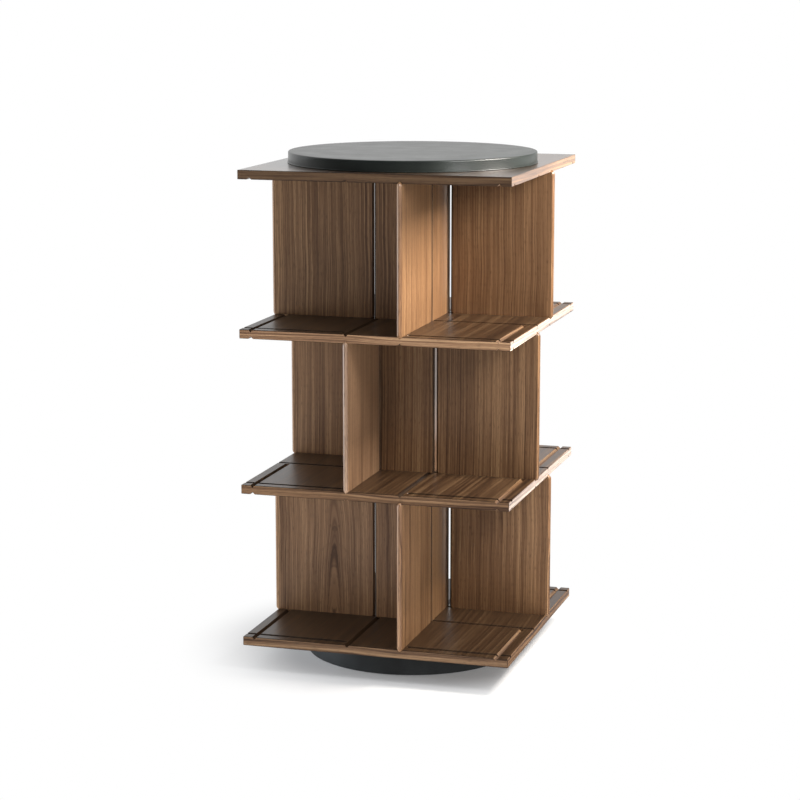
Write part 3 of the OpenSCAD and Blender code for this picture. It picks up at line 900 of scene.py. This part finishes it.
class BOOKSHELF_OT_stage(bpy.types.Operator):
    """Set the floor, the surroundings, the lights and the camera"""
    bl_idname = "bookshelf.stage"
    bl_label = "Stage"

    def execute(self, context):
        values = context.scene.stage
        self.add_floor(values)
        self.add_surroundings(values)
        self.add_softbox("Key softbox", values.key_place, values.key_aim, values.key_size,
                         values.key_power, values.key_colour)
        self.add_softbox("Fill softbox", values.fill_place, values.fill_aim, values.fill_size,
                         values.fill_power, values.fill_colour)
        self.add_softbox("Front softbox", values.front_place, values.front_aim, values.front_size,
                         values.front_power, values.front_colour)
        self.add_camera(values)
        context.scene.view_settings.view_transform = "Standard"
        return {"FINISHED"}

    def add_floor(self, values):
        """A wide white floor, that looks one way seen straight, another in the gloss of the
        bookshelf, and is a pale floor under the lights for all else."""
        bpy.ops.mesh.primitive_plane_add(size=values.floor_width, location=(0, 0, 0))
        floor = bpy.context.object
        floor.name = "Floor"
        material = bpy.data.materials.new("White floor")
        material.use_nodes = True
        tree = material.node_tree
        tree.nodes.clear()
        coords = add_node(tree, "ShaderNodeTexCoord")
        distance = add_node(tree, "ShaderNodeVectorMath", {
            0: coords.outputs["Object"]}, operation="LENGTH")
        pale = add_node(tree, "ShaderNodeBsdfDiffuse", {"Color": values.floor_colour})
        straight = self.floor_seen_straight(tree, values, distance, pale)
        mirrored = self.floor_in_gloss(tree, values, coords)
        bounced = self.floor_under_lights(tree, values, distance, pale)
        seen = add_node(tree, "ShaderNodeLightPath")
        unseen = add_node(tree, "ShaderNodeMixShader", {
            0: seen.outputs["Is Glossy Ray"], 1: bounced.outputs[0], 2: mirrored.outputs[0]})
        both = add_node(tree, "ShaderNodeMixShader", {
            0: seen.outputs["Is Camera Ray"], 1: unseen.outputs[0], 2: straight.outputs[0]})
        add_node(tree, "ShaderNodeOutputMaterial", {"Surface": both.outputs[0]})
        floor.data.materials.append(material)

    def floor_seen_straight(self, tree, values, distance, pale):
        """Plain white, but for the shadow round the base."""
        far = add_node(tree, "ShaderNodeMapRange", {
            "Value": distance.outputs["Value"], "From Min": values.shadow_start,
            "From Max": values.shadow_end}, interpolation_type="SMOOTHSTEP")
        white = add_node(tree, "ShaderNodeEmission", {"Color": values.white, "Strength": 1.0})
        lift = add_node(tree, "ShaderNodeEmission", {
            "Color": values.white, "Strength": values.floor_lift})
        near = add_node(tree, "ShaderNodeAddShader", {0: pale.outputs[0], 1: lift.outputs[0]})
        return add_node(tree, "ShaderNodeMixShader", {
            0: far.outputs[0], 1: near.outputs[0], 2: white.outputs[0]})

    def floor_in_gloss(self, tree, values, coords):
        """Dim in front of the bookshelf, and white from 1.5 m behind it."""
        dim, way_behind = 0.12, 1.5
        place = add_node(tree, "ShaderNodeSeparateXYZ", {"Vector": coords.outputs["Object"]})
        behind = add_node(tree, "ShaderNodeMapRange", {
            "Value": place.outputs["Y"], "From Min": 0.0, "From Max": way_behind,
            "To Min": dim, "To Max": 1.0})
        return add_node(tree, "ShaderNodeEmission", {
            "Color": values.white, "Strength": behind.outputs[0]})

    def floor_under_lights(self, tree, values, distance, pale):
        """Pale, with a glow round the bookshelf that fades away from it."""
        near, far = 1.0, 2.5
        fading = add_node(tree, "ShaderNodeMapRange", {
            "Value": distance.outputs["Value"], "From Min": near, "From Max": far,
            "To Min": values.floor_glow, "To Max": 0.0}, interpolation_type="SMOOTHSTEP")
        glow = add_node(tree, "ShaderNodeEmission", {
            "Color": values.white, "Strength": fading.outputs[0]})
        return add_node(tree, "ShaderNodeAddShader", {0: pale.outputs[0], 1: glow.outputs[0]})

    def add_surroundings(self, values):
        """White all round where seen straight, a soft even light for all else, and in the gloss of
        the bookshelf a white wall behind it and a dim room elsewhere."""
        world = bpy.data.worlds.new("Studio")
        world.use_nodes = True
        tree = world.node_tree
        tree.nodes.clear()
        dim, wall_start, wall_full = 0.06, 0.2, 0.9
        coords = add_node(tree, "ShaderNodeTexCoord")
        away = (-math.sin(values.wall_turn), math.cos(values.wall_turn), 0.0)
        facing = add_node(tree, "ShaderNodeVectorMath", {
            0: coords.outputs["Generated"], 1: away}, operation="DOT_PRODUCT")
        wall = add_node(tree, "ShaderNodeMapRange", {
            "Value": facing.outputs["Value"], "From Min": wall_start, "From Max": wall_full,
            "To Min": dim, "To Max": 1.0})
        seen = add_node(tree, "ShaderNodeLightPath")
        soft = add_node(tree, "ShaderNodeMix", {
            "Factor": seen.outputs["Is Glossy Ray"], 2: values.ambient, 3: wall.outputs[0]},
            data_type="FLOAT")
        level = add_node(tree, "ShaderNodeMath", {
            0: soft.outputs[0], 1: seen.outputs["Is Camera Ray"]}, operation="MAXIMUM")
        light = add_node(tree, "ShaderNodeBackground", {
            "Color": values.white, "Strength": level.outputs[0]})
        add_node(tree, "ShaderNodeOutputWorld", {"Surface": light.outputs[0]})
        bpy.context.scene.world = world

    def add_softbox(self, name, place, aim, size, power, colour):
        """A square softbox that faces a height on the turning axis."""
        bpy.ops.object.light_add(type="AREA", location=place)
        lamp = bpy.context.object
        lamp.name = name
        lamp.data.shape = "SQUARE"
        lamp.data.size = size
        lamp.data.energy = power
        lamp.data.color = colour[:3]
        way = Vector((0, 0, aim)) - Vector(place)
        lamp.rotation_euler = way.to_track_quat("-Z", "Y").to_euler()

    def add_camera(self, values):
        """A camera in front of the bookshelf, turned to its left and tilted down."""
        turn = (math.pi / 2 - values.camera_pitch, 0, values.camera_yaw)
        bpy.ops.object.camera_add(location=values.camera_place, rotation=turn)
        camera = bpy.context.object
        camera.data.lens = values.lens
        camera.data.sensor_width = 36.0
        bpy.context.scene.camera = camera


class BOOKSHELF_PT_panel(bpy.types.Panel):
    """Sidebar panel that lists the bookshelf's settings and steps"""
    bl_idname = "BOOKSHELF_PT_panel"
    bl_label = "Rotating Bookshelf"
    bl_space_type = "VIEW_3D"
    bl_region_type = "UI"
    bl_category = "Bookshelf"

    def draw(self, context):
        for group_name in SETTINGS:
            group = getattr(context.scene, group_name)
            box = self.layout.box()
            for name in group.__annotations__:
                box.prop(group, name)
        for operator in OPERATORS:
            self.layout.operator(operator.bl_idname)


SETTINGS = {
    "walnut": WalnutSettings, "tones": ToneAndPaintedLightSettings, "fins": FinSettings, "leather": LeatherSettings,
    "round_base": BaseSettings, "screws": ScrewSettings, "stage": StageSettings,
}
OPERATORS = (
    BOOKSHELF_OT_boards, BOOKSHELF_OT_core, BOOKSHELF_OT_fins, BOOKSHELF_OT_round_top,
    BOOKSHELF_OT_base, BOOKSHELF_OT_hardware, BOOKSHELF_OT_stage,
)


def register():
    for cls in (*SETTINGS.values(), *OPERATORS, BOOKSHELF_PT_panel):
        bpy.utils.register_class(cls)
    for name, cls in SETTINGS.items():
        setattr(bpy.types.Scene, name, bpy.props.PointerProperty(type=cls))


def unregister():
    for name in SETTINGS:
        delattr(bpy.types.Scene, name)
    for cls in (BOOKSHELF_PT_panel, *reversed(OPERATORS), *reversed(SETTINGS.values())):
        bpy.utils.unregister_class(cls)


def main():
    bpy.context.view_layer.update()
    register()
    bpy.ops.object.select_all(action="DESELECT")
    bpy.ops.bookshelf.boards()
    bpy.ops.bookshelf.core()
    bpy.ops.bookshelf.fins()
    bpy.ops.bookshelf.round_top()
    bpy.ops.bookshelf.base()
    bpy.ops.bookshelf.hardware()
    bpy.ops.bookshelf.stage()


if __name__ == "__main__":
    main()
